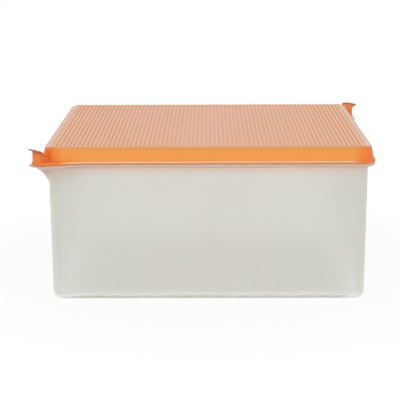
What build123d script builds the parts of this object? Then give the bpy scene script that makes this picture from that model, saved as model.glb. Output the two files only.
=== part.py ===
from build123d import *
import os
from math import cos, radians, sin, sqrt, tan

# Food storage box with a press-on lid, in millimetres.
# The origin is on the floor under the middle of the box, X is the width, Y the depth, Z up.
# Two mouldings: a translucent base and a one-piece soft lid with a thumb tab on two opposite corners.
# A reach is measured outwards from the edge of the lid's panel, and an inset inwards from it.

# Driving dimensions
LID_WIDTH = 300.0
LID_DEPTH = 248.0
TOTAL_HEIGHT = 146.6
LID_HEIGHT = 14.9
LID_WALL = 1.6
LID_CORNER_RADIUS = 10.0
BASE_WALL = 1.9
BASE_CORNER_RADIUS = 12.0
BASE_DRAFT_DEGREES = 0.35
RIB_COUNT = 72
RIB_HEIGHT = 0.7
TOLERANCE = 0.01
OVERRUN = 1.0

# Lid section
MARGIN_WIDTH = 5.0
MARGIN_DROP = 1.0
CREASE_WIDTH = 0.9
CREASE_DROP = 0.25
SKIRT_FLARE = 3.4
BEAD_REACH = 4.2
BEAD_HEIGHT = 2.8
BEAD_CHAMFER = 0.7
CEILING_STEP = 0.4
LID_BOTTOM = TOTAL_HEIGHT - LID_HEIGHT
PANEL_EDGE = TOTAL_HEIGHT - MARGIN_DROP
BEAD_TOP = LID_BOTTOM + BEAD_HEIGHT
GROOVE_FLOOR = TOTAL_HEIGHT - RIB_HEIGHT
PANEL_UNDERSIDE = GROOVE_FLOOR - LID_WALL
CHANNEL_CEILING = PANEL_UNDERSIDE - CEILING_STEP
SKIRT_SLOPE = SKIRT_FLARE / (PANEL_EDGE - LID_BOTTOM)

# Ribbed field of the lid panel
FIELD_END_MARGIN = 6.0
FIELD_WIDTH = LID_WIDTH - 2 * MARGIN_WIDTH
FIELD_DEPTH = LID_DEPTH - 2 * FIELD_END_MARGIN
FIELD_RUNOUT = 4.0
RIB_PITCH = FIELD_WIDTH / RIB_COUNT
GROOVE_WIDTH = 0.64 * RIB_PITCH
GROOVE_FLOOR_WIDTH = 0.24 * RIB_PITCH

# Base section
LID_GAP = 0.4
WALL_REACH = -2.4
WALL_INSET = BASE_CORNER_RADIUS - WALL_REACH
FLANGE_TOP = LID_BOTTOM - LID_GAP
FLANGE_LIP = 3.5
FLANGE_SHELF = 1.8
FLANGE_REACH = 3.9
FLANGE_LIP_WALL = 1.6
FLANGE_CHAMFER = 0.5
FLANGE_BOTTOM = FLANGE_TOP - FLANGE_LIP
SHELF_BOTTOM = FLANGE_TOP - FLANGE_SHELF
RIM_TOP = CHANNEL_CEILING
RIM_LEAD_IN = 0.5
SEAL_BULGE = 0.5
SEAL_BULGE_DEPTH = 2.6
SEAL_BULGE_MIDDLE = RIM_TOP - SEAL_BULGE_DEPTH
SEAL_BULGE_HALF_HEIGHT = 1.2
BOTTOM_RADIUS = 4.0
INNER_RADIUS = 5.0
ROUNDING_STEPS = 3
FLOOR_THICKNESS = 2.0
FOOT_WIDTH = 9.0
FOOT_HEIGHT = 1.2
FOOT_TAPER = 1.5

# Plug ring and plain pad under the lid
PLUG_CLEARANCE = 0.2
PLUG_REACH = WALL_REACH - BASE_WALL - PLUG_CLEARANCE
PLUG_DEPTH = 8.0
PLUG_INNER_REACH = PLUG_REACH - LID_WALL
PAD_RADIUS = 23.0
PAD_THICKNESS = 0.5

# Corner ears, in the frame of one corner: T across the diagonal, D outwards along it
EAR_NOSE_HALF = 5.6
EAR_NOSE_D = 7.9
EAR_CREST_D = 8.5
EAR_SIDE_RUN = 35.0
EAR_EDGE_RADIUS = 1.5
POST_ROOT_D = -8.0
POST_POCKET_TOP = 137.2
BASE_EAR_NOSE_HALF = 8.2
BASE_EAR_NOSE_D = 9.8
BASE_EAR_CREST_D = 10.6
BASE_EAR_SIDE_RUN = 38.0
BASE_EAR_EDGE_RADIUS = 3.0
EAR_BLEND_RADIUS = 60.0

# Thumb tab above the lid's ear
TAB_THICKNESS = 1.6
TAB_TIP_HALF = 9.4
TAB_TIP_D = 11.6
TAB_CREST_D = 12.4
TAB_TIP_Z = 146.1
TAB_ROOT_HALF = 5.0
TAB_WAIST = 0.5
TAB_CORNER_RADIUS = 1.6
TAB_SLOPE_DEGREES = 26.0
TAB_RIDGE_SLOPE = 0.14

# Hollow corbel that carries each base ear: heights with the distance of its nose along the diagonal
CORBEL_STATIONS = [(108.5, -9.8), (115.0, -5.9), (120.5, -1.8), (124.5, 2.6), (129.8, 8.4)]
CORBEL_NOSE_HALF = 4.0
CORBEL_EDGE_RADIUS = 3.4
CORBEL_FOOT_RUN = 17.0
CORBEL_SPREAD = 0.85
CORBEL_WALL = 2.0
CORBEL_CREST = 0.4
CORBEL_SUNK = 1.0
CORBEL_POCKET_FLOOR = 2


def plate(reach, inset):
    """Rounded rectangle at a reach, whose corner arcs are centred at an inset."""
    return RectangleRounded(LID_WIDTH + 2 * reach, LID_DEPTH + 2 * reach, inset + reach)


def straight(bottom, top, reach, inset):
    """Upright rounded block between two heights."""
    return Pos(0, 0, bottom) * extrude(plate(reach, inset), top - bottom)


def stacked(levels, inset):
    """Solid through concentric rounded rectangles, each given as a height and a reach."""
    solid = None
    for (low, low_reach), (high, high_reach) in zip(levels, levels[1:]):
        faces = [Pos(0, 0, low) * plate(low_reach, inset), Pos(0, 0, high) * plate(high_reach, inset)]
        layer = loft(faces, ruled=True)
        solid = layer if solid is None else solid + layer
    return solid


def rounded_foot(floor, reach, radius):
    """Levels of a quarter round between a floor and an upright wall at a reach."""
    levels = []
    for step in range(ROUNDING_STEPS + 1):
        angle = radians(90 * step / ROUNDING_STEPS)
        levels.append((floor + radius * (1 - cos(angle)), reach - radius * (1 - sin(angle))))
    return levels


def level_edges(solid, height):
    """Edges of a solid that lie level at a height."""
    found = []
    for edge in solid.edges():
        box = edge.bounding_box()
        if abs(box.min.Z - height) < TOLERANCE and abs(box.max.Z - height) < TOLERANCE:
            found.append(edge)
    return found


def ear_plane(height):
    """Level plane at the back right corner, with its Y axis outwards along the diagonal."""
    return Plane(origin=(LID_WIDTH / 2, LID_DEPTH / 2, height), x_dir=(1, -1, 0), z_dir=(0, 0, 1))


def both_corners(shape):
    """The shape at the back right corner and the same shape turned to the front left corner."""
    return [shape, Rot(0, 0, 180) * shape]


def side_point(reach, run):
    """Where an ear's side meets the straight rim, in the corner's T and D."""
    return (run + reach) / sqrt(2), (reach - run) / sqrt(2)


def nose_face(half, nose, crest, foot, radius):
    """Blunt nose with a slight crest in its middle, and two sides that run back to the foot points."""
    foot_t, foot_d = foot
    points = [(-foot_t, foot_d), (-half, nose), (0, crest), (half, nose), (foot_t, foot_d)]
    face = make_face(Polyline(*points, close=True))
    corners = []
    for vertex in face.vertices():
        if abs(abs(vertex.X) - half) < TOLERANCE and abs(vertex.Y - nose) < TOLERANCE:
            corners.append(vertex)
    return fillet(corners, radius)


def eared_plate(reach, half, nose, crest, run, radius):
    """Rim outline at a reach, with a nose at two corners and a soft blend where each nose's sides start."""
    outline = plate(reach, LID_CORNER_RADIUS)
    for ear in both_corners(ear_plane(0) * nose_face(half, nose, crest, side_point(reach, run), radius)):
        outline += ear
    starts = []
    for vertex in outline.vertices():
        along_x = abs(abs(vertex.X) - (LID_WIDTH / 2 - run)) < TOLERANCE
        along_y = abs(abs(vertex.Y) - (LID_DEPTH / 2 - run)) < TOLERANCE
        if along_x or along_y:
            starts.append(vertex)
    return fillet(starts, EAR_BLEND_RADIUS)


def tab_section(distance):
    """Roof-shaped cross section of the tab's sloping blade, at a distance along the diagonal."""
    slope = radians(TAB_SLOPE_DEGREES)
    height = TAB_TIP_Z - (TAB_TIP_D - distance) * tan(slope)
    place = ear_plane(height).from_local_coords((0, distance, 0))
    along = (cos(slope) / sqrt(2), cos(slope) / sqrt(2), sin(slope))
    blade_half = 2 * TAB_TIP_HALF
    drop = blade_half * TAB_RIDGE_SLOPE
    top = [(-blade_half, -drop), (0, 0), (blade_half, -drop)]
    under = [(across, level - TAB_THICKNESS) for across, level in reversed(top)]
    section = make_face(Polyline(*top, *under, close=True))
    return Plane(origin=place, x_dir=(-1, 1, 0), z_dir=along) * section


def tab_outline():
    """The tab seen from above: it widens in a slight curve from the post to two rounded tips."""
    middle_half = (TAB_ROOT_HALF + TAB_TIP_HALF) / 2 - TAB_WAIST
    middle_d = (POST_ROOT_D + TAB_TIP_D) / 2
    roots = [(-TAB_ROOT_HALF, POST_ROOT_D), (TAB_ROOT_HALF, POST_ROOT_D)]
    ends = [(-TAB_TIP_HALF, TAB_TIP_D), (TAB_TIP_HALF, TAB_TIP_D)]
    left = ThreePointArc(roots[0], (-middle_half, middle_d), ends[0])
    right = ThreePointArc(ends[1], (middle_half, middle_d), roots[1])
    tip = Polyline(ends[0], (0, TAB_CREST_D), ends[1])
    root = Line(roots[1], roots[0])
    face = make_face([left, tip, right, root])
    tips = [vertex for vertex in face.vertices() if abs(abs(vertex.X) - TAB_TIP_HALF) < TOLERANCE]
    return fillet(tips, TAB_CORNER_RADIUS)


def post_and_tab():
    """Upright post with a blunt nose, cut off under the sloping tab that it carries."""
    ends = (POST_ROOT_D - TAB_THICKNESS, TAB_CREST_D + TAB_THICKNESS)
    blade = loft([tab_section(distance) for distance in ends], ruled=True)
    column = extrude(ear_plane(LID_BOTTOM) * tab_outline(), LID_HEIGHT + TAB_THICKNESS)
    tab = blade & column
    foot = (EAR_NOSE_HALF, POST_ROOT_D)
    face = nose_face(EAR_NOSE_HALF, EAR_NOSE_D, EAR_CREST_D, foot, EAR_EDGE_RADIUS)
    post = extrude(ear_plane(LID_BOTTOM) * face, LID_HEIGHT)
    slope = radians(TAB_SLOPE_DEGREES)
    tip = ear_plane(TAB_TIP_Z - TAB_THICKNESS).from_local_coords((0, TAB_TIP_D, 0))
    upwards = (-sin(slope) / sqrt(2), -sin(slope) / sqrt(2), cos(slope))
    underside = Plane(origin=tip, x_dir=(1, -1, 0), z_dir=upwards) * Circle(4 * TAB_TIP_D)
    return post - extrude(underside, LID_HEIGHT) + tab


def post_pocket():
    """Hollow inside a post, open downwards."""
    inner = EAR_NOSE_HALF - LID_WALL
    nose = EAR_NOSE_D - LID_WALL
    crest = EAR_CREST_D - LID_WALL
    face = nose_face(inner, nose, crest, (inner, POST_ROOT_D), EAR_EDGE_RADIUS / 2)
    return extrude(ear_plane(LID_BOTTOM) * face, POST_POCKET_TOP - LID_BOTTOM)


def groove_cutter():
    """All the grooves between the ribs, running out to nothing at front and back."""
    profile = Sketch()
    for index in range(RIB_COUNT):
        middle = (index + 0.5) * RIB_PITCH - FIELD_WIDTH / 2
        groove = [
            (middle - GROOVE_WIDTH / 2, TOTAL_HEIGHT + TOLERANCE),
            (middle - GROOVE_FLOOR_WIDTH / 2, GROOVE_FLOOR),
            (middle + GROOVE_FLOOR_WIDTH / 2, GROOVE_FLOOR),
            (middle + GROOVE_WIDTH / 2, TOTAL_HEIGHT + TOLERANCE),
        ]
        profile += make_face(Polyline(*groove, close=True))
    reach = FIELD_DEPTH / 2
    bars = extrude(Plane.XZ.offset(-reach) * profile, FIELD_DEPTH)
    tray = [
        (-reach, TOTAL_HEIGHT),
        (-reach + FIELD_RUNOUT, GROOVE_FLOOR),
        (reach - FIELD_RUNOUT, GROOVE_FLOOR),
        (reach, TOTAL_HEIGHT),
        (reach, TOTAL_HEIGHT + OVERRUN),
        (-reach, TOTAL_HEIGHT + OVERRUN),
    ]
    side = Plane.YZ.offset(-LID_WIDTH / 2) * make_face(Polyline(*tray, close=True))
    return bars & extrude(side, LID_WIDTH)


def build_lid():
    """One-piece lid: ribbed panel, flared skirt over a beaded rim, plug ring and two corner ears."""
    inset = LID_CORNER_RADIUS
    skirt = stacked(
        [
            (LID_BOTTOM, SKIRT_FLARE),
            (PANEL_EDGE - CREASE_WIDTH, CREASE_WIDTH * SKIRT_SLOPE),
            (PANEL_EDGE - CREASE_DROP, -CREASE_DROP),
            (PANEL_EDGE + CREASE_WIDTH * MARGIN_DROP / MARGIN_WIDTH, -CREASE_WIDTH),
            (TOTAL_HEIGHT, -MARGIN_WIDTH),
        ],
        inset,
    )
    outline = eared_plate(
        BEAD_REACH, EAR_NOSE_HALF, EAR_NOSE_D, EAR_CREST_D, EAR_SIDE_RUN, EAR_EDGE_RADIUS
    )
    bead = Pos(0, 0, LID_BOTTOM) * extrude(outline, BEAD_HEIGHT)
    bead = chamfer(level_edges(bead, BEAD_TOP), BEAD_CHAMFER)
    shell = skirt + bead
    for ear in both_corners(post_and_tab() - skirt):
        shell += ear
    shell -= Pos(0, 0, LID_BOTTOM) * extrude(offset(outline, -LID_WALL), BEAD_HEIGHT - LID_WALL)
    for pocket in both_corners(post_pocket() - skirt):
        shell -= pocket
    ceiling_reach = (PANEL_EDGE - CHANNEL_CEILING) * SKIRT_SLOPE - LID_WALL
    shell -= stacked([(LID_BOTTOM, SKIRT_FLARE - LID_WALL), (CHANNEL_CEILING, ceiling_reach)], inset)
    plug_bottom = CHANNEL_CEILING - PLUG_DEPTH
    shell += straight(plug_bottom, CHANNEL_CEILING, PLUG_REACH, WALL_INSET)
    shell -= straight(plug_bottom, PANEL_UNDERSIDE, PLUG_INNER_REACH, WALL_INSET)
    shell += Pos(0, 0, PANEL_UNDERSIDE - PAD_THICKNESS) * extrude(Circle(PAD_RADIUS), PAD_THICKNESS)
    return shell - groove_cutter()


def corbel(stations, margin):
    """Flared corner under a base ear, through its stations, drawn in by a margin."""
    first_nose = CORBEL_STATIONS[0][1]
    sections = []
    for height, nose in stations:
        run = CORBEL_FOOT_RUN + CORBEL_SPREAD * (nose - first_nose) - 2 * margin
        foot = side_point(WALL_REACH - CORBEL_SUNK, run)
        half = CORBEL_NOSE_HALF - margin / 2
        radius = CORBEL_EDGE_RADIUS - margin
        face = nose_face(half, nose - margin, nose - margin + CORBEL_CREST, foot, radius)
        sections.append(ear_plane(height) * face)
    return loft(sections)


def corbel_pocket():
    """Hollow of a corbel, open upwards through the flange's shelf and hidden by the lid's ear."""
    stations = CORBEL_STATIONS[CORBEL_POCKET_FLOOR:]
    top_height, top_nose = stations[-1]
    mouth = [(top_height, top_nose), (FLANGE_TOP + OVERRUN, top_nose)]
    return corbel(stations, CORBEL_WALL) + corbel(mouth, CORBEL_WALL)


def build_flange():
    """Rolled flange with an ear on two corners, open underneath."""
    outline = eared_plate(
        FLANGE_REACH,
        BASE_EAR_NOSE_HALF,
        BASE_EAR_NOSE_D,
        BASE_EAR_CREST_D,
        BASE_EAR_SIDE_RUN,
        BASE_EAR_EDGE_RADIUS,
    )
    flange = Pos(0, 0, FLANGE_BOTTOM) * extrude(outline, FLANGE_LIP)
    flange = chamfer(level_edges(flange, FLANGE_TOP), FLANGE_CHAMFER)
    under = extrude(offset(outline, -FLANGE_LIP_WALL), FLANGE_LIP - FLANGE_SHELF)
    return flange - Pos(0, 0, FLANGE_BOTTOM) * under


def build_base():
    """Box with a rolled flange, an upright sealing rim and a hollow corbel under each ear."""
    foot_reach = WALL_REACH - SHELF_BOTTOM * tan(radians(BASE_DRAFT_DEGREES))
    wall = stacked(
        [
            *rounded_foot(0.0, foot_reach, BOTTOM_RADIUS),
            (SHELF_BOTTOM, WALL_REACH),
            (SEAL_BULGE_MIDDLE - SEAL_BULGE_HALF_HEIGHT, WALL_REACH),
            (SEAL_BULGE_MIDDLE, WALL_REACH + SEAL_BULGE),
            (SEAL_BULGE_MIDDLE + SEAL_BULGE_HALF_HEIGHT, WALL_REACH),
            (RIM_TOP, WALL_REACH - RIM_LEAD_IN),
        ],
        WALL_INSET,
    )
    solid = wall + build_flange()
    for flare in both_corners(corbel(CORBEL_STATIONS, 0.0)):
        solid += flare
    for pocket in both_corners(corbel_pocket() - wall):
        solid -= pocket
    inner_reach = WALL_REACH - BASE_WALL
    floor = FOOT_HEIGHT + FLOOR_THICKNESS
    floor_reach = foot_reach - BASE_WALL
    cavity = stacked(
        [
            *rounded_foot(floor, floor_reach, INNER_RADIUS),
            (SHELF_BOTTOM, inner_reach),
            (RIM_TOP, inner_reach),
        ],
        WALL_INSET,
    )
    foot_inner = foot_reach - BOTTOM_RADIUS - FOOT_WIDTH
    recess = stacked([(0.0, foot_inner), (FOOT_HEIGHT, foot_inner - FOOT_TAPER)], WALL_INSET + FOOT_WIDTH)
    return solid - cavity - recess


def write_part(name, solid):
    """Write one node to its STEP file."""
    export_step(solid, f"parts/{name}.step")
    box = solid.bounding_box()
    print(name, "solids", len(solid.solids()), "size", box.size, "volume", round(solid.volume))


os.makedirs("parts", exist_ok=True)
write_part("container_base", build_base())
write_part("ribbed_lid", build_lid())
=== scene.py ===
"""Food storage box: a frosted translucent base under a soft orange lid with a ribbed panel.

Sizes are in millimetres and become metres where they are used, but the spans of the finishes, the
floor and the lamps are in metres. The frame's origin is on the floor under the middle of the box, X is
the width, Y the depth towards the back, and Z is up. A reach is measured outwards from the edge of the
lid's panel.
"""
import logging
import math
from collections.abc import Callable
from dataclasses import dataclass, replace
from enum import Enum

import bmesh
import bpy
from mathutils import Matrix, Vector


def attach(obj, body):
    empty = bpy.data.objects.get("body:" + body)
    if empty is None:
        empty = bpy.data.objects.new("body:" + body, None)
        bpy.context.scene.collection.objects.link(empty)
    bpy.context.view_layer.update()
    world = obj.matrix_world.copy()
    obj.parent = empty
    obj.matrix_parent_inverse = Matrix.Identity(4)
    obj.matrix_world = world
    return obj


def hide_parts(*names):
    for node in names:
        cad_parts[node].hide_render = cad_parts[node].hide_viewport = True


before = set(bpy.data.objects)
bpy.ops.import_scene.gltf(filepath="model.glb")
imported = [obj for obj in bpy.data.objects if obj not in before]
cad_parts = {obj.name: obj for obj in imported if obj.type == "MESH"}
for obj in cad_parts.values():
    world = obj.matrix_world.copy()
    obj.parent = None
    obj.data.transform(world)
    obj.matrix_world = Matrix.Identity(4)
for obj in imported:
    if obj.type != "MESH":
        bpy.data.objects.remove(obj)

log = logging.getLogger("storage_box")
logging.basicConfig(level=logging.INFO, format="%(name)s: %(message)s")

MM = 0.001
SQRT2 = math.sqrt(2.0)
WELD = 0.002
LEAST_RADIUS = 0.15
WHITE = (1.0, 1.0, 1.0, 1.0)
Flat = tuple[float, float]
Spot = tuple[float, float, float]
Colour = tuple[float, float, float, float]
Floats = tuple[float, ...]
Flats = tuple[Flat, ...]
Ring = list[Vector]
Piece = bpy.types.Object
Material = bpy.types.Material
Mesh = bmesh.types.BMesh
Vert = bmesh.types.BMVert
Socket = bpy.types.NodeSocket

# Points of half a corner: a straight run and an arc, or an ear's blend, flank and tip, which match
RUN_POINTS = 8
ARC_POINTS = 9
BLEND_POINTS = 6
FLANK_SHARES = (1 / 3, 2 / 3)
TIP_POINTS = 9


class Body(Enum):
    """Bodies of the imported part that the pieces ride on."""

    BASE = "base"
    LID = "lid"


class Slot(Enum):
    """Material slots of the record."""

    BASE = "base_plastic"
    LID = "lid_plastic"


class Corner(Enum):
    """Corners of the box, with the outward side normals in anticlockwise order."""

    BACK_RIGHT = ((1.0, 0.0), (0.0, 1.0))
    BACK_LEFT = ((0.0, 1.0), (-1.0, 0.0))
    FRONT_LEFT = ((-1.0, 0.0), (0.0, -1.0))
    FRONT_RIGHT = ((0.0, -1.0), (1.0, 0.0))

    @property
    def eared(self) -> bool:
        """Whether this corner carries an ear with a thumb tab."""
        return self in (Corner.BACK_RIGHT, Corner.FRONT_LEFT)


def rounded(before: Flat, corner: Flat, after: Flat, radius: float, count: int) -> list[Flat]:
    """Points of the arc that rounds a corner of an outline.

    Args:
        before: A point on the run into the corner.
        corner: The sharp corner.
        after: A point on the run out of the corner.
        radius: Radius of the arc.
        count: How many points to return, from tangent to tangent.

    Returns:
        The arc's points in order.
    """
    into = (Vector(corner) - Vector(before)).normalized()
    out = (Vector(after) - Vector(corner)).normalized()
    turn = math.atan2(into.cross(out), into.dot(out))
    start = Vector(corner) - into * radius * math.tan(abs(turn) / 2)
    centre = start + Vector((-into.y, into.x)) * math.copysign(radius, turn)
    spoke = start - centre
    angles = (turn * step / (count - 1) for step in range(count))
    return [tuple(centre + Matrix.Rotation(angle, 2) @ spoke) for angle in angles]


def edge_round(radius: float, steps: int) -> list[Flat]:
    """Quarter round from a flat top to an upright side, as pairs of offset inwards and drop."""
    angles = (math.radians(90 * step / steps) for step in range(steps + 1))
    return [(radius * (1 - math.sin(angle)), radius * (1 - math.cos(angle))) for angle in angles]


def mirrored(half: list[Flat]) -> list[Flat]:
    """Half outline, followed by its mirror image beyond its last point."""
    return [*half, *[(-t, d) for t, d in reversed(half[:-1])]]


def offset_loop(points: list[Flat], inwards: float) -> list[Flat]:
    """Draw a closed anticlockwise outline in by an even distance.

    Args:
        points: The outline.
        inwards: How far each edge moves inwards.

    Returns:
        The offset outline with as many points.
    """
    sharpest = 0.5
    moved = []
    for before, point, after in zip([points[-1], *points[:-1]], points, [*points[1:], points[0]]):
        into = (Vector(point) - Vector(before)).normalized()
        out = (Vector(after) - Vector(point)).normalized()
        normal = Vector((-into.y - out.y, into.x + out.x)).normalized()
        stretch = inwards / max(normal.dot(Vector((-into.y, into.x))), sharpest)
        moved.append((point[0] + normal.x * stretch, point[1] + normal.y * stretch))
    return moved


def moved_at_ears(plain: Ring, target: Ring, share: float) -> Ring:
    """Move the eared corners of a ring towards those of a matching one.

    Args:
        plain: The ring.
        target: The matching ring.
        share: Share of the way, which is kept between 0 and 1.

    Returns:
        The ring, with its other corners unchanged.
    """
    share = min(1.0, max(0.0, share))
    each = len(plain) // len(Corner)
    eared = [corner.eared for corner in Corner for _ in range(each)]
    ring = []
    for own, other, moves in zip(plain, target, eared):
        ring.append(Vector((*own.xy.lerp(other.xy, share), own.z)) if moves else own)
    return ring


@dataclass(frozen=True)
class EarOutline:
    """Outline of an ear in a corner's own frame: T across the diagonal and D outwards along it."""

    reach: float
    nose_half: float
    nose_d: float
    crest_d: float
    side_run: float
    edge_radius: float
    blend_radius: float = 60.0

    def half(self, inwards: float) -> list[Flat]:
        """Points of one half, from the straight side to the crest.

        Args:
            inwards: How far the outline is offset towards the inside.

        Returns:
            The points of the half outline, crest point last.
        """
        foot = ((self.side_run + self.reach) / SQRT2, (self.reach - self.side_run) / SQRT2)
        far = (foot[0] + 1.0, foot[1] - 1.0)
        sharp = mirrored([far, foot, (self.nose_half, self.nose_d), (0.0, self.crest_d)])
        foot, nose, crest = offset_loop(sharp, inwards)[1:4]
        far = (foot[0] + 1.0, foot[1] - 1.0)
        blend = rounded(far, foot, nose, self.blend_radius + inwards, BLEND_POINTS)
        tip = rounded(foot, nose, crest, max(self.edge_radius - inwards, LEAST_RADIUS), TIP_POINTS)
        flank = [tuple(Vector(blend[-1]).lerp(Vector(tip[0]), share)) for share in FLANK_SHARES]
        return [*blend, *flank, *tip, crest]


@dataclass(frozen=True)
class RimOutline:
    """Rounded rectangle of the box, with or without ears, as rings of matching points."""

    width: float = 300.0
    depth: float = 248.0
    straight_run: float = 42.0

    def corner_half(self, reach: float, inset: float) -> list[Flat]:
        """Half of a plain rounded corner with as many points as half an ear.

        Args:
            reach: How far the outline lies outside the lid's panel edge.
            inset: How far inside that edge the corner arc is centred.

        Returns:
            The points of the half corner, crest point last.
        """
        radius = inset + reach
        points = []
        for step in range(RUN_POINTS):
            run = self.straight_run + (inset - self.straight_run) * step / RUN_POINTS
            points.append(((run + reach) / SQRT2, (reach - run) / SQRT2))
        for step in range(ARC_POINTS + 1):
            angle = math.radians(45.0 * (1 - step / ARC_POINTS))
            points.append((radius * math.sin(angle), radius * math.cos(angle) - inset * SQRT2))
        return points

    def spot(self, corner: Corner, t: float, d: float, height: float) -> Vector:
        """Point of a corner's own frame in the frame of the box."""
        first, second = (Vector((*normal, 0.0)) for normal in corner.value)
        centre = (first + second) * Vector((self.width, self.depth, 0.0)) / 2
        out = first * ((d + t) / SQRT2) + second * ((d - t) / SQRT2)
        return centre + out + Vector((0.0, 0.0, height))

    def ring(self, height: float, plain: list[Flat], ear: list[Flat]) -> Ring:
        """Ring through all corners, where each half corner is mirrored at its crest.

        Args:
            height: Height of the ring.
            plain: Half outline of the two plain corners in T and D, crest point last.
            ear: Half outline of the two eared corners.

        Returns:
            The ring's points in anticlockwise order.
        """
        ring = []
        for corner in Corner:
            both = mirrored(ear if corner.eared else plain)
            ring += [self.spot(corner, t, d, height) for t, d in both]
        return ring

    def plain(self, height: float, reach: float, inset: float) -> Ring:
        """Ring without ears at a height, a reach and a corner inset."""
        half = self.corner_half(reach, inset)
        return self.ring(height, half, half)

    def eared(self, height: float, ear: EarOutline, inwards: float, inset: float) -> Ring:
        """Ring with ears, drawn in by an even distance."""
        return self.ring(height, self.corner_half(ear.reach - inwards, inset), ear.half(inwards))


def walls(mesh: Mesh, loops: list[list[Vert]]) -> None:
    """Join a stack of matching loops with faces from each to the next."""
    count = len(loops[0])
    for low, high in zip(loops, loops[1:]):
        for index in range(count):
            after = (index + 1) % count
            mesh.faces.new((low[index], low[after], high[after], high[index]))


def skin(rings: list[Ring], name: str) -> Piece:
    """Closed mesh through a stack of matching rings, capped at both ends.

    Args:
        rings: The rings in order, each with the same number of points.
        name: Name of the object.

    Returns:
        The new object, with its faces turned outwards.
    """
    mesh = bmesh.new()
    loops = [[mesh.verts.new(point * MM) for point in ring] for ring in rings]
    walls(mesh, loops)
    for loop in (loops[0], loops[-1]):
        mesh.faces.new(loop)
    bmesh.ops.recalc_face_normals(mesh, faces=mesh.faces)
    return piece_of(mesh, name)


def added(name: str, data: bpy.types.ID) -> Piece:
    """New object of the scene, with its data."""
    piece = bpy.data.objects.new(name, data)
    bpy.context.scene.collection.objects.link(piece)
    return piece


def piece_of(mesh: Mesh, name: str) -> Piece:
    """Turn a bmesh into a linked object and free it."""
    data = bpy.data.meshes.new(name)
    mesh.to_mesh(data)
    mesh.free()
    return added(name, data)


def join(target: Piece, additions: list[Piece]) -> None:
    """Join solids to a piece with exact booleans and remove them."""
    for addition in additions:
        step = target.modifiers.new("join", "BOOLEAN")
        step.operation = "UNION"
        step.solver = "EXACT"
        step.object = addition
        bake(target)
        bpy.data.objects.remove(addition)


def bake(piece: Piece) -> None:
    """Replace a piece's mesh by its evaluated one and remove its modifiers."""
    bpy.context.view_layer.update()
    graph = bpy.context.evaluated_depsgraph_get()
    data = bpy.data.meshes.new_from_object(piece.evaluated_get(graph), depsgraph=graph)
    piece.modifiers.clear()
    piece.data = data


def clean(piece: Piece, sharp_degrees: float) -> None:
    """Clean a mesh, shade it smooth and keep its real edges sharp.

    Args:
        piece: The piece to finish.
        sharp_degrees: Edges that turn more than this stay sharp.
    """
    mesh = bmesh.new()
    mesh.from_mesh(piece.data)
    bmesh.ops.remove_doubles(mesh, verts=mesh.verts, dist=WELD * MM)
    bmesh.ops.dissolve_degenerate(mesh, edges=mesh.edges, dist=WELD * MM)
    mesh.to_mesh(piece.data)
    mesh.free()
    piece.data.shade_smooth()
    piece.data.set_sharp_from_angle(angle=math.radians(sharp_degrees))
    weighted = piece.modifiers.new("weighted", "WEIGHTED_NORMAL")
    weighted.keep_sharp = True
    bake(piece)


class NodeGraph:
    """Adds and links the nodes of a material, a world or a geometry tree."""

    def __init__(self, tree: bpy.types.NodeTree) -> None:
        """Keep the tree."""
        self.tree = tree

    @classmethod
    def of(cls, owner: Material | bpy.types.World) -> "NodeGraph":
        """Empty graph of a material or a world."""
        owner.use_nodes = True
        owner.node_tree.nodes.clear()
        return cls(owner.node_tree)

    def add(self, kind: str, values: dict[str | int, object] | None = None,
            **settings: object) -> bpy.types.Node:
        """Add a node.

        Args:
            kind: The node's type name.
            values: Its inputs by name or index, as constants or as sockets to link.
            settings: Its properties by name.

        Returns:
            The new node.
        """
        node = self.tree.nodes.new(kind)
        for name, value in settings.items():
            setattr(node, name, value)
        for key, value in (values or {}).items():
            if isinstance(value, Socket):
                self.tree.links.new(value, node.inputs[key])
            else:
                node.inputs[key].default_value = value
        return node

    def math(self, operation: str, *values: float | Socket) -> Socket:
        """Result of a math node."""
        return self.add("ShaderNodeMath", dict(enumerate(values)), operation=operation).outputs[0]

    def vector_math(self, operation: str, *values: object) -> bpy.types.Node:
        """Vector math node."""
        return self.add("ShaderNodeVectorMath", dict(enumerate(values)), operation=operation)

    def ramp(self, value: Socket, span: Flat, ends: Flat = (0.0, 1.0), smooth: bool = False) -> Socket:
        """Map a value from a span to two ends.

        Args:
            value: The value.
            span: Where the ramp starts and ends.
            ends: What it gives there.
            smooth: Whether it eases in and out.

        Returns:
            The mapped value.
        """
        kind = "SMOOTHSTEP" if smooth else "LINEAR"
        return self.add("ShaderNodeMapRange", {
            "Value": value, "From Min": span[0], "From Max": span[1], "To Min": ends[0], "To Max": ends[1],
        }, interpolation_type=kind).outputs[0]

    def blend(self, share: Socket, first: Colour | Socket, second: Colour) -> Socket:
        """Mix of two colours."""
        return self.add("ShaderNodeMix", {0: share, 6: first, 7: second}, data_type="RGBA").outputs[2]

    def mix(self, share: float | Socket, first: Socket, second: Socket) -> Socket:
        """Mix of two shaders."""
        return self.add("ShaderNodeMixShader", {0: share, 1: first, 2: second}).outputs[0]

    def noise(self, place: Socket, scale: float, detail: float) -> Socket:
        """Value of a noise texture."""
        values = {"Vector": place, "Scale": scale, "Detail": detail}
        return self.add("ShaderNodeTexNoise", values).outputs["Fac"]

    def seen(self) -> Socket:
        """One where the eye, a reflection or a see-through plastic looks, and nought for plain light."""
        ray = self.add("ShaderNodeLightPath").outputs
        direct = self.math("MAXIMUM", ray["Is Camera Ray"], ray["Is Glossy Ray"])
        return self.math("MAXIMUM", direct, ray["Is Transmission Ray"])


def srgb(red: int, green: int, blue: int) -> Colour:
    """Linear colour of an eight bit sRGB colour."""
    linear = []
    for value in (red, green, blue):
        share = value / 255
        linear.append(share / 12.92 if share <= 0.04045 else ((share + 0.055) / 1.055) ** 2.4)
    return (*linear, 1.0)


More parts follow.
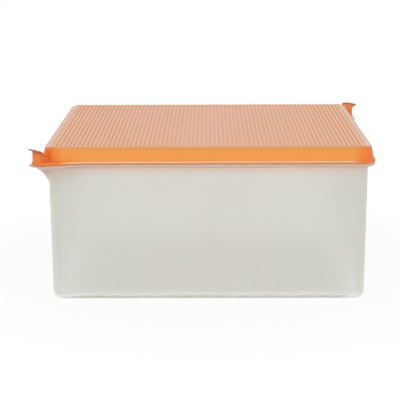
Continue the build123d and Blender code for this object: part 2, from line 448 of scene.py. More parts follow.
@dataclass(frozen=True)
class Plastic:
    """What both plastics share: a fine grain, a cloudy gloss and light that passes through."""

    name: str
    colour: Colour
    passing: Colour
    light_share: float
    back_light: float
    ior: float
    roughness: Flat
    grain_size: float
    grain_strength: float
    grain_depth: float = 0.0004
    cloud_scale: float = 14.0
    cloud_span: Flat = (0.3, 0.7)

    def cloud(self, graph: NodeGraph, place: Socket) -> Socket:
        """Soft noise over the whole piece."""
        return graph.noise(place, self.cloud_scale, detail=3.0)

    def surface(self, graph: NodeGraph, place: Socket) -> tuple[dict[str, object], Colour | Socket]:
        """What sets a plastic apart.

        Args:
            graph: The material's nodes.
            place: Object coordinates.

        Returns:
            Inputs of the main shader, and the colour of the light that shines through.
        """
        raise NotImplementedError

    def make(self) -> Material:
        """Build the material.

        Returns:
            The plastic, which lets part of the lamps' light pass, tinted.
        """
        material = bpy.data.materials.new(self.name)
        graph = NodeGraph.of(material)
        place = graph.add("ShaderNodeTexCoord").outputs["Object"]
        grain = graph.noise(place, 1 / (self.grain_size * MM), detail=2.0)
        bump = graph.add("ShaderNodeBump", {
            "Height": grain, "Strength": self.grain_strength, "Distance": self.grain_depth,
        }).outputs[0]
        inputs, glow_colour = self.surface(graph, place)
        shell = graph.add("ShaderNodeBsdfPrincipled", {
            "Roughness": graph.ramp(self.cloud(graph, place), self.cloud_span, self.roughness),
            "IOR": self.ior, "Normal": bump, **inputs,
        }).outputs[0]
        glow = graph.add("ShaderNodeBsdfTranslucent", {"Color": glow_colour, "Normal": bump}).outputs[0]
        body = graph.mix(self.back_light, shell, glow)
        ray = graph.add("ShaderNodeLightPath").outputs["Is Shadow Ray"]
        clear = graph.add("ShaderNodeBsdfTransparent", {"Color": self.passing}).outputs[0]
        whole = graph.mix(graph.math("MULTIPLY", ray, self.light_share), body, clear)
        graph.add("ShaderNodeOutputMaterial", {"Surface": whole})
        return material


@dataclass(frozen=True)
class Frosted(Plastic):
    """Milky translucent plastic of the base, with the lid's orange glow painted on the flange as a warmer,
    less clear tint.
    """

    name: str = "frosted_plastic"
    colour: Colour = srgb(249, 252, 248)
    passing: Colour = srgb(249, 250, 246)
    light_share: float = 0.65
    back_light: float = 0.12
    ior: float = 1.45
    roughness: Flat = (0.305, 0.34)
    grain_size: float = 1.1
    grain_strength: float = 0.06
    cloud_shade: float = 0.96
    # Painted glow: the lid's orange light painted as a warm, less clear tint on the flange and on the wall's
    # outside below it
    painted_lid_glow: Colour = srgb(254, 210, 180)
    lid_glow_strength: float = 0.58
    transmission: float = 0.84
    lid_glow_transmission: float = 0.58
    lid_glow_rise: Flat = (0.1160, 0.1285)
    lid_glow_end: Flat = (0.1322, 0.1312)
    corner_centre: Spot = (0.1356, 0.1096, 1.0)
    outer_face: Flat = (0.0107, 0.0114)

    def surface(self, graph: NodeGraph, place: Socket) -> tuple[dict[str, object], Colour | Socket]:
        """Colour and clearness of the base.

        Args:
            graph: The material's nodes.
            place: Object coordinates.

        Returns:
            Inputs of the main shader, and the colour of the light that shines through.
        """
        shaded = tuple(self.cloud_shade * part for part in self.colour[:3]) + (1.0,)
        # The share below mixes in the painted orange glow of the lid and lowers the clearness there
        lid_glow_share = self.thickness(graph, place)
        clouded = graph.blend(self.cloud(graph, place), self.colour, shaded)
        tint = graph.blend(lid_glow_share, clouded, self.painted_lid_glow)
        span = (self.transmission, self.lid_glow_transmission)
        inputs = {"Base Color": tint, "Transmission Weight": graph.ramp(lid_glow_share, (0.0, 1.0), span)}
        return inputs, self.passing

    def thickness(self, graph: NodeGraph, place: Socket) -> Socket:
        """Share of the painted orange glow of the lid: on the flange and fading down the wall's outside.

        Args:
            graph: The material's nodes.
            place: Object coordinates.

        Returns:
            The share at each spot.
        """
        height = graph.add("ShaderNodeSeparateXYZ", {0: place}).outputs[2]
        rising = graph.ramp(height, self.lid_glow_rise, (0.0, self.lid_glow_strength), smooth=True)
        below = graph.ramp(height, self.lid_glow_end)
        folded = graph.vector_math("ABSOLUTE", place).outputs[0]
        past = graph.vector_math("SUBTRACT", folded, self.corner_centre).outputs[0]
        corner = graph.vector_math("MAXIMUM", past, (0.0, 0.0, 0.0)).outputs[0]
        distance = graph.vector_math("LENGTH", corner).outputs["Value"]
        outside = graph.ramp(distance, self.outer_face)
        return graph.math("MULTIPLY", graph.math("MULTIPLY", rising, below), outside)


@dataclass(frozen=True)
class SoftOrange(Plastic):
    """Satin translucent orange plastic of the lid, with painted shade and painted highlights in zones over
    its height and width.
    """

    name: str = "orange_skirt"
    colour: Colour = srgb(246, 166, 72)
    passing: Colour = srgb(254, 196, 138)
    light_share: float = 0.85
    back_light: float = 0.25
    ior: float = 1.5
    roughness: Flat = (0.19, 0.25)
    grain_size: float = 0.8
    grain_strength: float = 0.03
    cloud_scale: float = 18.0
    sheen: float = 0.04
    sheen_roughness: float = 0.35
    # The margin is 1 on the panel's finish: it turns the skirt's painted bands off and the painted
    # reflection at the side margins on
    margin: float = 0.0
    zone_strength: float = 0.85
    # Painted shade: a darker band along the crease at the top of the skirt
    crease_shade: Colour = srgb(222, 160, 92)
    crease_shade_span: Flat = (0.1432, 0.1457)
    # Painted highlight: a pale band on the bead's top, and a painted reflection at the panel's side margins
    pale_edge: Colour = srgb(255, 206, 156)
    bead_highlight_span: Flat = (0.1345, 0.1338)
    side_highlight_span: Flat = (0.1438, 0.1462)
    # Painted shade: a dark band under the bead
    shade: Colour = srgb(206, 138, 94)
    bead_shade_span: Flat = (0.1330, 0.1322)
    # Painted shade: the corners and ears darker and redder, partly also the deeper colour of their thicker
    # plastic
    corner_shade: Colour = srgb(242, 136, 46)
    corner_shade_span: Flat = (0.256, 0.270)
    # Painted shade: the tips of the tabs darker
    tip: Colour = srgb(184, 98, 50)
    tip_shade_span: Flat = (0.4275, 0.4330)

    @classmethod
    def panel(cls) -> "SoftOrange":
        """The finish of the panel and its ribs, painted paler for the white reflection at a low angle, with
        a painted reflection at both side margins.
        """
        # Painted reflection: the panel's colour paler than the skirt's
        return cls(name="orange_panel", colour=srgb(242, 174, 90), pale_edge=srgb(236, 188, 146),
                   margin=1.0, sheen=0.42)

    def surface(self, graph: NodeGraph, place: Socket) -> tuple[dict[str, object], Colour | Socket]:
        """Colour and sheen of the lid, with painted shade at the crease, under the bead, at the corners and
        at the tab tips, and painted highlights on the bead and the panel's side margins.

        Args:
            graph: The material's nodes.
            place: Object coordinates.

        Returns:
            Inputs of the main shader, and the colour of the light that shines through.
        """
        parts = graph.add("ShaderNodeSeparateXYZ", {0: place}).outputs
        width, height = graph.math("ABSOLUTE", parts[0]), parts[2]
        total = graph.math("ADD", width, graph.math("ABSOLUTE", parts[1]))
        rise = graph.math("ADD", total, height)
        skirt = 1.0 - self.margin
        tint = self.colour
        # Each zone blends in a painted shade or a painted highlight over a span of height, corner distance
        # or width
        for value, span, colour, strength in (
            (height, self.crease_shade_span, self.crease_shade, self.zone_strength * skirt),
            (height, self.bead_highlight_span, self.pale_edge, self.zone_strength * skirt),
            (height, self.bead_shade_span, self.shade, skirt),
            (total, self.corner_shade_span, self.corner_shade, 1.0),
            (rise, self.tip_shade_span, self.tip, 1.0),
            (width, self.side_highlight_span, self.pale_edge, self.margin),
        ):
            tint = graph.blend(graph.ramp(value, span, (0.0, strength), smooth=True), tint, colour)
        inputs = {"Base Color": tint, "Sheen Weight": self.sheen, "Sheen Roughness": self.sheen_roughness}
        return inputs, tint


@dataclass
class StorageBase:
    """Box moulding: drafted walls, rounded foot, rolled flange with two ears, sealing rim."""

    outline: RimOutline = RimOutline()
    inset: float = 14.4
    wall_reach: float = -2.4
    wall: float = 1.9
    draft_degrees: float = 0.35
    rim_top: float = 143.9
    wall_levels: Floats = (30.0, 60.0, 90.0, 104.0)
    inner_levels: Floats = (120.0, 90.0, 60.0, 30.0)
    sharp_degrees: float = 38.0

    # Foot: the recess is a list of heights with reaches from the foot band's inner edge
    foot_radius: float = 5.2
    inner_radius: float = 5.0
    foot_width: float = 9.0
    foot_recess: Flats = ((1.2, -1.5), (1.2, -1.2), (0.9, -0.9), (0.25, -0.2), (0.0, 0.2))
    inner_floor: float = 3.2

    # Flange: a lip that hangs from a shelf, and a thin plate at the ears
    flange_top: float = 131.3
    shelf_bottom: float = 129.5
    lip_bottom: float = 127.8
    flange_inset: float = 10.0
    flange_round: float = 0.7
    lip_wall: float = 2.5
    lip_round: float = 2.0
    lip_edge: float = 0.3
    ear: EarOutline = EarOutline(3.4, 8.5, 11.2, 11.8, 38.0, 2.6)
    ear_below: EarOutline = EarOutline(3.4, 6.0, 5.7, 6.3, 38.0, 2.6)
    ear_thickness: float = 1.9
    ear_step: float = 0.7

    # Corbel: how the wall's eared corners swell out below the flange
    swell_target: EarOutline = EarOutline(0.0, 6.5, 8.2, 8.6, 34.0, 4.0)
    swell_bottom: float = 110.0
    swell_share: float = 0.82
    swell_even: float = 0.35
    swell_power: float = 2.2
    swell_start: float = 0.25
    swell_step: float = 1.3

    # Rim: heights from its top with reaches from its face, and heights from the bulge with shares of it
    rim_root: float = 0.3
    bulge: float = 0.5
    bulge_height: float = 141.3
    bulge_profile: Flats = ((-1.4, 0.0), (-0.7, 0.6), (0.0, 1.0), (0.7, 0.6), (1.4, 0.0))
    rim_outside: Flats = ((-0.5, -0.25), (-0.12, -0.45), (0.0, -0.8))
    rim_inside: Flats = ((0.0, 0.5), (-0.2, 0.1), (-0.6, 0.0))

    def reach_at(self, height: float) -> float:
        """Reach of the drafted wall's outside at a height."""
        below = max(self.shelf_bottom - height, 0.0)
        return self.wall_reach - below * math.tan(math.radians(self.draft_degrees))

    def swell_at(self, height: float) -> float:
        """Share of the way that the wall's eared corners have swelled out at a height."""
        share = (height - self.swell_bottom) / (self.lip_bottom - self.swell_bottom)
        share = min(1.0, max(0.0, share))
        start = min(1.0, share / self.swell_start)
        curve = self.swell_even * share + (1 - self.swell_even) * share**self.swell_power
        return self.swell_share * curve * start * start * (3 - 2 * start)

    def wall_ring(self, height: float) -> Ring:
        """Outside of the wall at a height, with its swelling corners."""
        reach = self.reach_at(height)
        plain = self.outline.plain(height, reach, self.inset)
        target = self.outline.eared(height, replace(self.swell_target, reach=reach), 0.0, self.inset)
        return moved_at_ears(plain, target, self.swell_at(height))

    def foot_rings(self) -> list[Ring]:
        """Recess of the underside, foot band and rounded foot."""
        foot = self.reach_at(0.0)
        inner = foot - self.foot_radius - self.foot_width
        wide = self.inset + self.foot_width
        rings = [self.outline.plain(height, inner + out, wide) for height, out in self.foot_recess]
        for inwards, rise in edge_round(self.foot_radius, steps=8):
            rings.append(self.outline.plain(rise, foot - inwards, self.inset))
        return rings

    def wall_rings(self) -> list[Ring]:
        """Outside of the wall, up to the flange's shelf."""
        levels = list(self.wall_levels)
        height = self.swell_bottom
        while height < self.shelf_bottom:
            levels.append(height)
            height += self.swell_step
        return [self.wall_ring(height) for height in (*levels, self.shelf_bottom)]

    def flange_rings(self) -> list[Ring]:
        """Flange, from the inside of its lip to its top."""
        steps = [(self.shelf_bottom, self.lip_wall), (self.lip_bottom + self.lip_edge, self.lip_wall)]
        steps += [(self.lip_bottom + drop, inwards) for inwards, drop in edge_round(self.lip_round, steps=5)]
        top = reversed(edge_round(self.flange_round, steps=3))
        steps += [(self.flange_top - drop, inwards) for inwards, drop in top]
        rings = []
        for level, inwards in steps:
            full = self.outline.eared(level, self.ear, inwards, self.flange_inset)
            root = replace(self.ear_below, reach=self.ear.reach - inwards)
            below = self.outline.eared(level, root, 0.0, self.flange_inset)
            share = (self.flange_top - self.ear_thickness - level) / self.ear_step
            rings.append(moved_at_ears(full, below, share))
        return rings

    def rim_rings(self) -> list[Ring]:
        """Sealing rim, from the flange's top over its bulge to its inside."""
        steps = [(self.flange_top, self.rim_root), (self.flange_top + self.rim_root, 0.0)]
        steps += [(self.bulge_height + rise, share * self.bulge) for rise, share in self.bulge_profile]
        steps += [(self.rim_top + rise, out) for rise, out in self.rim_outside]
        steps += [(self.rim_top + rise, out - self.wall) for rise, out in self.rim_inside]
        return [self.outline.plain(height, self.wall_reach + out, self.inset) for height, out in steps]

    def cavity_rings(self) -> list[Ring]:
        """Inside of the wall, down to the inner floor."""
        steps = [(height, self.reach_at(height)) for height in self.inner_levels]
        for inwards, rise in reversed(edge_round(self.inner_radius, steps=8)):
            steps.append((self.inner_floor + rise, self.reach_at(0.0) - inwards))
        return [self.outline.plain(height, reach - self.wall, self.inset) for height, reach in steps]

    def build(self, finish: Material) -> Piece:
        """Build the moulding.

        Args:
            finish: Its material.

        Returns:
            The finished piece.
        """
        rings = [*self.foot_rings(), *self.wall_rings(), *self.flange_rings()]
        rings += [*self.rim_rings(), *self.cavity_rings()]
        piece = skin(rings, "frosted_base")
        clean(piece, self.sharp_degrees)
        piece.data.materials.append(finish)
        return piece


@dataclass
class ThumbTab:
    """Post and sloping tab that stand on a corner of the lid.

    The root is a function that gives, beside the diagonal by T, the distance along it at which the
    post and the tab start inside the skirt's wall.
    """

    corner: Corner
    root: Callable[[float], float]
    outline: RimOutline
    nose_half: float = 5.3
    nose_d: float = 9.5
    nose_crest_d: float = 9.9
    nose_radius: float = 1.5
    post_bottom: float = 133.5
    post_sunk: float = 0.65
    root_d: float = -8.0
    root_half: float = 5.0
    thickness: float = 1.6
    tip_half: float = 9.6
    tip_d: float = 10.82
    crest_d: float = 11.8
    tip_z: float = 146.05
    tip_thinning: float = 0.62
    thicker_inwards: float = 0.05
    waist: float = 0.5
    corner_radius: float = 0.9
    edge_radius: float = 0.5
    slope_degrees: float = 26.0
    rows: int = 10
    arc_points: int = 7
    crest_shares: Floats = (0.35, 0.7)
    shares: Floats = (-0.7, -0.4, -0.15, 0.0, 0.15, 0.4, 0.7)
    back_shares: Floats = (-1.0, -2 / 3, -1 / 3, 0.0, 1 / 3, 2 / 3, 1.0)

    def surface(self, d: float) -> float:
        """Height of the tab's upper face at a distance along the diagonal."""
        return self.tip_z - (self.tip_d - d) * math.tan(math.radians(self.slope_degrees))

    def underneath(self, d: float, drop: float) -> float:
        """Height of a level under the upper face, where the tab grows thinner towards its tip."""
        share = self.tip_thinning + self.thicker_inwards * (self.tip_d - d)
        return self.surface(d) - drop * share

    def half_width(self, d: float) -> float:
        """Half width of the tab at a distance along the diagonal."""
        share = (d - self.root_d) / (self.tip_d - self.root_d)
        straight = self.root_half + (self.tip_half - self.root_half) * share
        return straight - 4 * self.waist * share * (1 - share)

    def side(self) -> list[Flat]:
        """Right edge of the tab seen from above, from its root to just before the crest.

        Returns:
            The points of the edge, with the tip's corner rounded.
        """
        start = self.root(self.root_half)
        stop = self.tip_d - self.corner_radius
        points = []
        for step in range(self.rows):
            d = start + (stop - start) * step / self.rows
            points.append((self.half_width(d), d))
        corner = (self.half_width(self.tip_d), self.tip_d)
        crest = (0.0, self.crest_d)
        points += rounded(points[-1], corner, crest, self.corner_radius, self.arc_points)
        last_t, last_d = points[-1]
        for share in self.crest_shares:
            points.append((last_t * (1 - share), last_d + (self.crest_d - last_d) * share))
        return points

    def vertex(self, mesh: Mesh, t: float, d: float, drop: float) -> Vert:
        """New vertex of the tab at a spot of the corner's frame, a drop below the upper face."""
        return mesh.verts.new(self.outline.spot(self.corner, t, d, self.underneath(d, drop)) * MM)

    def tab(self) -> Piece:
        """Sloping tab with rounded edges.

        Returns:
            The tab as a closed mesh.
        """
        half = self.side()
        back = [(half[0][0] * share, self.root(half[0][0] * share)) for share in self.shares]
        loop = [*mirrored([*half, (0.0, self.crest_d)]), *back]
        levels = edge_round(self.edge_radius, steps=4)
        levels += [(inwards, self.thickness - drop) for inwards, drop in reversed(levels)]
        mesh = bmesh.new()
        rings = []
        for inwards, drop in levels:
            rings.append([self.vertex(mesh, t, d, drop) for t, d in offset_loop(loop, inwards)])
        walls(mesh, rings)
        for ring, (inwards, drop) in ((rings[0], levels[0]), (rings[-1], levels[-1])):
            self.cover(mesh, ring, offset_loop(loop, inwards)[:len(half)], drop)
        bmesh.ops.recalc_face_normals(mesh, faces=mesh.faces)
        return piece_of(mesh, "tab")

    def cover(self, mesh: Mesh, ring: list[Vert], edge: list[Flat], drop: float) -> None:
        """Fill one face of the tab with strips from edge to edge.

        Args:
            mesh: The tab's mesh.
            ring: The face's rim, right edge first, then the crest, the left edge and the root.
            edge: The right edge in the corner's frame.
            drop: How far the face lies under the tab's upper surface.
        """
        count = len(edge)
        rows = [[ring[2 * count], *ring[2 * count + 1:], ring[0]]]
        for index in range(1, count):
            half, d = edge[index]
            middle = [self.vertex(mesh, half * share, d, drop) for share in self.shares]
            rows.append([ring[2 * count - index], *middle, ring[index]])
        for low, high in zip(rows, rows[1:]):
            for index in range(len(low) - 1):
                mesh.faces.new((low[index], low[index + 1], high[index + 1], high[index]))
        for left, right in zip(rows[-1], rows[-1][1:]):
            mesh.faces.new((left, right, ring[count]))

    def post(self) -> Piece:
        """Upright post under the tab.

        Returns:
            The post as a closed mesh.
        """
        sharp, crest = (self.nose_half, self.nose_d), (0.0, self.nose_crest_d)
        tip = rounded((self.nose_half, 0.0), sharp, crest, self.nose_radius, self.arc_points)
        flat = mirrored([*tip, crest])
        for share in self.back_shares:
            t = self.nose_half * share
            flat.append((t, self.root(t)))
        bottom = [self.outline.spot(self.corner, t, d, self.post_bottom) for t, d in flat]
        top = [self.outline.spot(self.corner, t, d, self.surface(d) - self.post_sunk) for t, d in flat]
        return skin([bottom, top], "post")


@dataclass
class RibField:
    """Raised ribs of the lid's panel, made by a node tree."""

    count: int = 71
    pitch: float = 290.0 / 72
    length: float = 242.6
    bottom: float = 145.5
    top: float = 146.59
    foot_width: float = 3.06
    crest_width: float = 1.45
    crest_round: float = 0.42
    sharp_degrees: float = 35.0

    def inputs(self, finish: Material) -> dict[str, tuple[str, object]]:
        """Named inputs of the node tree.

        Args:
            finish: Material of the ribs.

        Returns:
            The kind of socket and the value of each input.
        """
        sizes = {
            "Pitch": self.pitch, "Length": self.length, "Height": self.top - self.bottom,
            "Foot Width": self.foot_width, "Crest Width": self.crest_width,
            "Crest Round": self.crest_round, "Bottom": self.bottom,
        }
        floats = {name: ("Float", size * MM) for name, size in sizes.items()}
        return {**floats, "Count": ("Int", self.count), "Finish": ("Material", finish)}

    def tree(self, inputs: dict[str, tuple[str, object]]) -> bpy.types.NodeTree:
        """Node tree that repeats one rib along X.

        Args:
            inputs: Its named inputs.

        Returns:
            The tree.
        """
        tree = bpy.data.node_groups.new("panel_ribs", "GeometryNodeTree")
        sockets = [("Geometry", "INPUT", "Geometry"), ("Geometry", "OUTPUT", "Geometry")]
        sockets += [(name, "INPUT", kind) for name, (kind, _) in inputs.items()]
        for name, side, kind in sockets:
            tree.interface.new_socket(name, in_out=side, socket_type=f"NodeSocket{kind}")
        graph = NodeGraph(tree)
        given = graph.add("NodeGroupInput").outputs
        reach = graph.math("MULTIPLY", graph.math("SUBTRACT", given["Count"], 1.0), given["Pitch"])
        first = graph.math("MULTIPLY", reach, -0.5)
        middle = graph.math("MULTIPLY_ADD", given["Height"], 0.5, given["Bottom"])
        origin = graph.add("ShaderNodeCombineXYZ", {"X": first, "Z": middle}).outputs[0]
        step = graph.add("ShaderNodeCombineXYZ", {"X": given["Pitch"]}).outputs[0]
        places = graph.add("GeometryNodeMeshLine", {
            "Count": given["Count"], "Start Location": origin, "Offset": step,
        }, mode="OFFSET", count_mode="TOTAL").outputs[0]
        rib = self.rib(graph, given)
        copies = graph.add("GeometryNodeInstanceOnPoints", {"Points": places, "Instance": rib})
        real = graph.add("GeometryNodeRealizeInstances", {0: copies.outputs[0]}).outputs[0]
        dressed = graph.add("GeometryNodeSetMaterial", {"Geometry": real, "Material": given["Finish"]})
        graph.add("NodeGroupOutput", {0: dressed.outputs[0]})
        return tree

    def rib(self, graph: NodeGraph, given: bpy.types.bpy_prop_collection) -> Socket:
        """One rib: a trapezium with a rounded crest, swept along Y.

        Args:
            graph: The tree's nodes.
            given: The tree's inputs.

        Returns:
            The rib's mesh.
        """
        section = graph.add("GeometryNodeCurvePrimitiveQuadrilateral", {
            "Bottom Width": given["Foot Width"], "Top Width": given["Crest Width"],
            "Height": given["Height"], "Offset": 0.0,
        }, mode="TRAPEZOID").outputs[0]
        soft = graph.add("GeometryNodeFilletCurve", {
            "Curve": section, "Radius": given["Crest Round"], "Count": 2,
        }, mode="POLY").outputs[0]
        ends = []
        for share in (-0.5, 0.5):
            y = graph.math("MULTIPLY", given["Length"], share)
            ends.append(graph.add("ShaderNodeCombineXYZ", {"Y": y}).outputs[0])
        line = graph.add("GeometryNodeCurvePrimitiveLine", {"Start": ends[0], "End": ends[1]}).outputs[0]
        return graph.add("GeometryNodeCurveToMesh", {
            "Curve": line, "Profile Curve": soft, "Fill Caps": True,
        }).outputs[0]

    def build(self, finish: Material) -> Piece:
        """Build the field of ribs.

        Args:
            finish: Material of the ribs.

        Returns:
            The ribs as one piece.
        """
        piece = added("lid_ribs", bpy.data.meshes.new("lid_ribs"))
        inputs = self.inputs(finish)
        repeat = piece.modifiers.new("ribs", "NODES")
        repeat.node_group = self.tree(inputs)
        for socket in repeat.node_group.interface.items_tree:
            if socket.in_out == "INPUT" and socket.name in inputs:
                repeat[socket.identifier] = inputs[socket.name][1]
        bake(piece)
        clean(piece, self.sharp_degrees)
        return piece


@dataclass
class RibbedLid:
    """Lid moulding: panel, flared skirt, bead with two ears, sealing channel and plug ring."""

    outline: RimOutline = RimOutline()
    inset: float = 10.0
    bottom: float = 131.7
    edge: float = 145.6
    flare: float = 2.9
    wall: float = 1.6
    skirt_levels: Floats = (142.0, 138.5)
    tab_root_level: float = 139.0
    sharp_degrees: float = 36.0

    # Panel: the border is a list of rises over the field, widths, depths and corner radii
    field_level: float = 145.8
    border: tuple[Floats, ...] = (
        (0.0, 287.4, 237.6, 1.0), (0.05, 287.8, 238.4, 1.0), (0.55, 289.4, 242.2, 1.2),
        (0.6, 289.8, 243.0, 1.4), (0.56, 290.8, 243.6, 2.0),
    )
    panel_gap: float = 1.3
    panel_rise: float = 0.1
    field_gaps: Flat = (4.0, 2.0)
    field_sink: float = 0.3

    # Crease and shoulder: rises over the panel's edge with reaches
    crease: Flats = ((0.28, -1.5), (0.02, -1.15), (0.05, -0.85))
    shoulder_start: Flat = (0.12, -0.6)
    shoulder_corner: Flat = (0.05, 0.0)
    shoulder_drop: float = 0.9
    shoulder_shares: Floats = (0.0, 0.2, 0.45, 0.7, 0.9)

    # Bead: the foot is a list of rises over the lid's bottom with offsets inwards
    bead_top: float = 134.5
    bead_round: float = 1.4
    bead_root: float = 0.3
    bead_foot: Flats = ((0.35, 0.0), (0.1, 0.1), (0.0, 0.35))
    bead_inner_edge: float = 0.2
    ear: EarOutline = EarOutline(3.8, 5.8, 9.9, 10.3, 36.0, 1.6)

    # Inside: sealing channel, plug ring and round pad, whose profile is rises with changes of radius
    channel_ceiling: float = 143.9
    panel_underside: float = 144.3
    underside_round: float = 0.5
    plug_inset: float = 14.4
    plug_reach: float = -4.5
    plug_inner: float = -6.1
    plug_bottom: float = 135.9
    plug_edge: float = 0.4
    pad_radius: float = 23.0
    pad_profile: Flats = ((0.0, 0.2), (-0.35, 0.0), (-0.5, -0.2))

    def skirt_reach(self, height: float) -> float:
        """Reach of the skirt's outside at a height."""
        return self.flare * (self.edge - height) / (self.edge - self.bottom)

    def top_rings(self) -> list[Ring]:
        """Panel, its border, the crease and the rounded shoulder of the skirt."""
        rings = []
        for rise, width, depth, radius in self.border:
            outline = replace(self.outline, width=width, depth=depth)
            rings.append(outline.plain(self.field_level + rise, 0.0, radius))
        steps = [(self.edge + rise, reach) for rise, reach in self.crease]
        low = self.edge - self.shoulder_drop
        start = Vector(self.shoulder_start)
        corner = Vector(self.shoulder_corner)
        end = Vector((-self.shoulder_drop, self.skirt_reach(low)))
        for share in self.shoulder_shares:
            point = start.lerp(corner, share).lerp(corner.lerp(end, share), share)
            steps.append((self.edge + point.x, point.y))
        for height in (low, *self.skirt_levels, self.bead_top + self.bead_root):
            steps.append((height, self.skirt_reach(height)))
        return rings + [self.outline.plain(height, reach, self.inset) for height, reach in steps]

    def bead_rings(self) -> list[Ring]:
        """Bead with its ears, from its top over its foot to its inside."""
        steps = [(self.bead_top - drop, inwards) for inwards, drop in edge_round(self.bead_round, steps=6)]
        steps += [(self.bottom + rise, inwards) for rise, inwards in self.bead_foot]
        steps += [
            (self.bottom, self.wall - self.bead_inner_edge),
            (self.bottom + self.bead_inner_edge, self.wall),
            (self.bead_top - self.wall, self.wall),
        ]
        return [self.outline.eared(height, self.ear, inwards, self.inset) for height, inwards in steps]

    def inner_rings(self) -> list[Ring]:
        """Sealing channel, plug ring, underside of the panel and its pad."""
        plain = self.outline.plain
        rings = []
        for height in (self.bead_top - self.wall, self.channel_ceiling):
            rings.append(plain(height, self.skirt_reach(height) - self.wall, self.inset))
        low, edge, soft = self.plug_bottom, self.plug_edge, self.underside_round
        for height, reach in (
            (self.channel_ceiling, self.plug_reach), (low + edge, self.plug_reach),
            (low, self.plug_reach - edge), (low, self.plug_inner + edge), (low + edge, self.plug_inner),
            (self.panel_underside - soft, self.plug_inner), (self.panel_underside, self.plug_inner - soft),
        ):
            rings.append(plain(height, reach, self.plug_inset))
        like = rings[-1]
        for rise, out in self.pad_profile:
            height, radius = self.panel_underside + rise, self.pad_radius + out
            rings.append([Vector((*(point.xy.normalized() * radius), height)) for point in like])
        return rings

    def wall_middle(self, t: float) -> float:
        """Distance along the diagonal of the middle of the skirt's wall, beside the diagonal by t."""
        radius = self.inset + self.skirt_reach(self.tab_root_level) - self.wall / 2
        return math.sqrt(radius**2 - t**2) - self.inset * SQRT2

    def on_panel(self, centre: Vector) -> bool:
        """Whether a face belongs to the panel, from its middle in metres."""
        gap_x = self.outline.width / 2 - abs(centre.x) / MM
        gap_y = self.outline.depth / 2 - abs(centre.y) / MM
        level = centre.z / MM
        in_border = min(gap_x, gap_y) > self.panel_gap and level > self.edge + self.panel_rise
        inside = gap_x > self.field_gaps[0] and gap_y > self.field_gaps[1]
        return in_border or (inside and level > self.field_level - self.field_sink)

    def build(self, skirt_finish: Material, panel_finish: Material) -> list[Piece]:
        """Build the lid's shell with its tabs, and its ribs.

        Args:
            skirt_finish: Material of the skirt, the bead and the tabs.
            panel_finish: Material of the panel and its ribs.

        Returns:
            The shell and the ribs.
        """
        rings = [*self.top_rings(), *self.bead_rings(), *self.inner_rings()]
        shell = skin(rings, "orange_lid")
        for corner in Corner:
            if corner.eared:
                thumb = ThumbTab(corner, self.wall_middle, self.outline)
                join(shell, [thumb.post(), thumb.tab()])
        clean(shell, self.sharp_degrees)
        shell.data.materials.clear()
        shell.data.materials.append(skirt_finish)
        shell.data.materials.append(panel_finish)
        for face in shell.data.polygons:
            face.material_index = int(self.on_panel(face.center))
        return [shell, RibField().build(panel_finish)]


@dataclass(frozen=True)
class Lamp:
    """Soft rectangular lamp that looks at the middle of the box."""

    name: str
    place: Spot
    size: Flat
    power: float
    target: Spot = (0.0, 0.0, 0.08)

    def build(self) -> None:
        """Add the lamp."""
        data = bpy.data.lights.new(self.name, "AREA")
        data.shape = "RECTANGLE"
        data.size, data.size_y = self.size
        data.energy = self.power
        lamp = added(self.name, data)
        turn = (Vector(self.target) - Vector(self.place)).to_track_quat("-Z", "Y")
        lamp.matrix_world = Matrix.Translation(self.place) @ turn.to_matrix().to_4x4()
        lamp.visible_camera = False


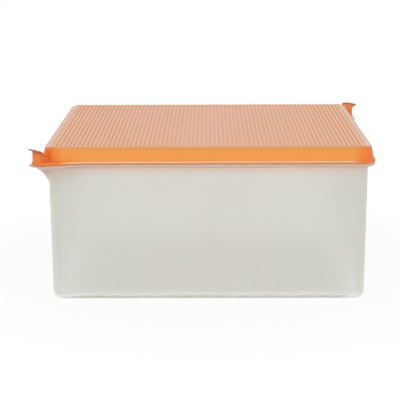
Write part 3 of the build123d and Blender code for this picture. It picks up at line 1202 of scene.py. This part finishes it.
@dataclass
class Studio:
    """Plain pale stage, soft light and the camera at the picture's angle."""

    camera_place: Spot = (1.157, -1201.16, 357.94)
    yaw: float = 0.008155
    pitch: float = 0.23752
    roll: float = -0.0046
    focal_pixels: float = 1205.2448
    frame_pixels: float = 400.0
    sensor: float = 36.0
    camera_reach: Flat = (0.05, 60.0)
    ambient: float = 0.78
    floor_size: float = 12.0
    floor_colour: Colour = (0.9, 0.9, 0.9, 1.0)
    fade_distance: Flat = (0.17, 0.34)
    fade_ends: Flat = (0.89, 1.0)
    lamps: tuple[Lamp, ...] = (
        Lamp("key", (-0.7, -1.6, 1.15), (2.2, 0.6), 11.0),
        Lamp("fill", (1.4, -0.9, 0.9), (1.4, 1.4), 3.0),
    )

    def camera(self) -> None:
        """Place the camera from its yaw, pitch and roll."""
        data = bpy.data.cameras.new("camera")
        data.sensor_width = self.sensor
        data.lens = self.focal_pixels / self.frame_pixels * self.sensor
        data.clip_start, data.clip_end = self.camera_reach
        camera = added("camera", data)
        turn = Matrix.Rotation(self.yaw, 4, "Z") @ Matrix.Rotation(math.pi / 2 - self.pitch, 4, "X")
        turn = turn @ Matrix.Rotation(self.roll, 4, "Z")
        camera.matrix_world = Matrix.Translation(Vector(self.camera_place) * MM) @ turn
        bpy.context.scene.camera = camera

    def world(self) -> None:
        """White surroundings for the eye and for reflections, dimmer as a light."""
        world = bpy.data.worlds.new("studio")
        graph = NodeGraph.of(world)
        dim, white = (
            graph.add("ShaderNodeBackground", {"Color": WHITE, "Strength": strength}).outputs[0]
            for strength in (self.ambient, 1.0)
        )
        graph.add("ShaderNodeOutputWorld", {"Surface": graph.mix(graph.seen(), dim, white)})
        bpy.context.scene.world = world

    def floor(self) -> None:
        """Pale floor that fades to white away from the box and keeps its shadow near it."""
        mesh = bmesh.new()
        bmesh.ops.create_grid(mesh, x_segments=8, y_segments=8, size=self.floor_size / 2)
        floor = piece_of(mesh, "floor")
        material = bpy.data.materials.new("pale_floor")
        graph = NodeGraph.of(material)
        place = graph.add("ShaderNodeTexCoord").outputs["Object"]
        distance = graph.vector_math("LENGTH", place).outputs["Value"]
        fade = graph.ramp(distance, self.fade_distance, self.fade_ends, smooth=True)
        share = graph.math("MULTIPLY", fade, graph.seen())
        matte = graph.add("ShaderNodeBsdfDiffuse", {"Color": self.floor_colour}).outputs[0]
        white = graph.add("ShaderNodeEmission", {"Color": WHITE, "Strength": 1.0}).outputs[0]
        graph.add("ShaderNodeOutputMaterial", {"Surface": graph.mix(share, matte, white)})
        floor.data.materials.append(material)

    def build(self) -> None:
        """Build the whole studio."""
        self.camera()
        self.world()
        self.floor()
        for lamp in self.lamps:
            lamp.build()
        bpy.context.scene.view_settings.view_transform = "Standard"


def mount(piece: Piece, body: Body, slot: Slot, node: str) -> None:
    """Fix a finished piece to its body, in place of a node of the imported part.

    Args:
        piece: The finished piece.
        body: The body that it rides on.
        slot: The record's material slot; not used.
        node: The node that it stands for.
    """
    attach(piece, body.value)
    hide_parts(node)
    triangles = sum(len(face.vertices) - 2 for face in piece.data.polygons)
    log.info("%s: %d triangles, on %s", piece.name, triangles, body.value)


def main() -> None:
    """Build the base, the lid and the studio, and log each piece's triangles."""
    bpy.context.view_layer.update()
    mount(StorageBase().build(Frosted().make()), Body.BASE, Slot.BASE, "container_base")
    skirt_finish = SoftOrange().make()
    panel_finish = SoftOrange.panel().make()
    for piece in RibbedLid().build(skirt_finish, panel_finish):
        mount(piece, Body.LID, Slot.LID, "ribbed_lid")
    Studio().build()


if __name__ == "__main__":
    main()
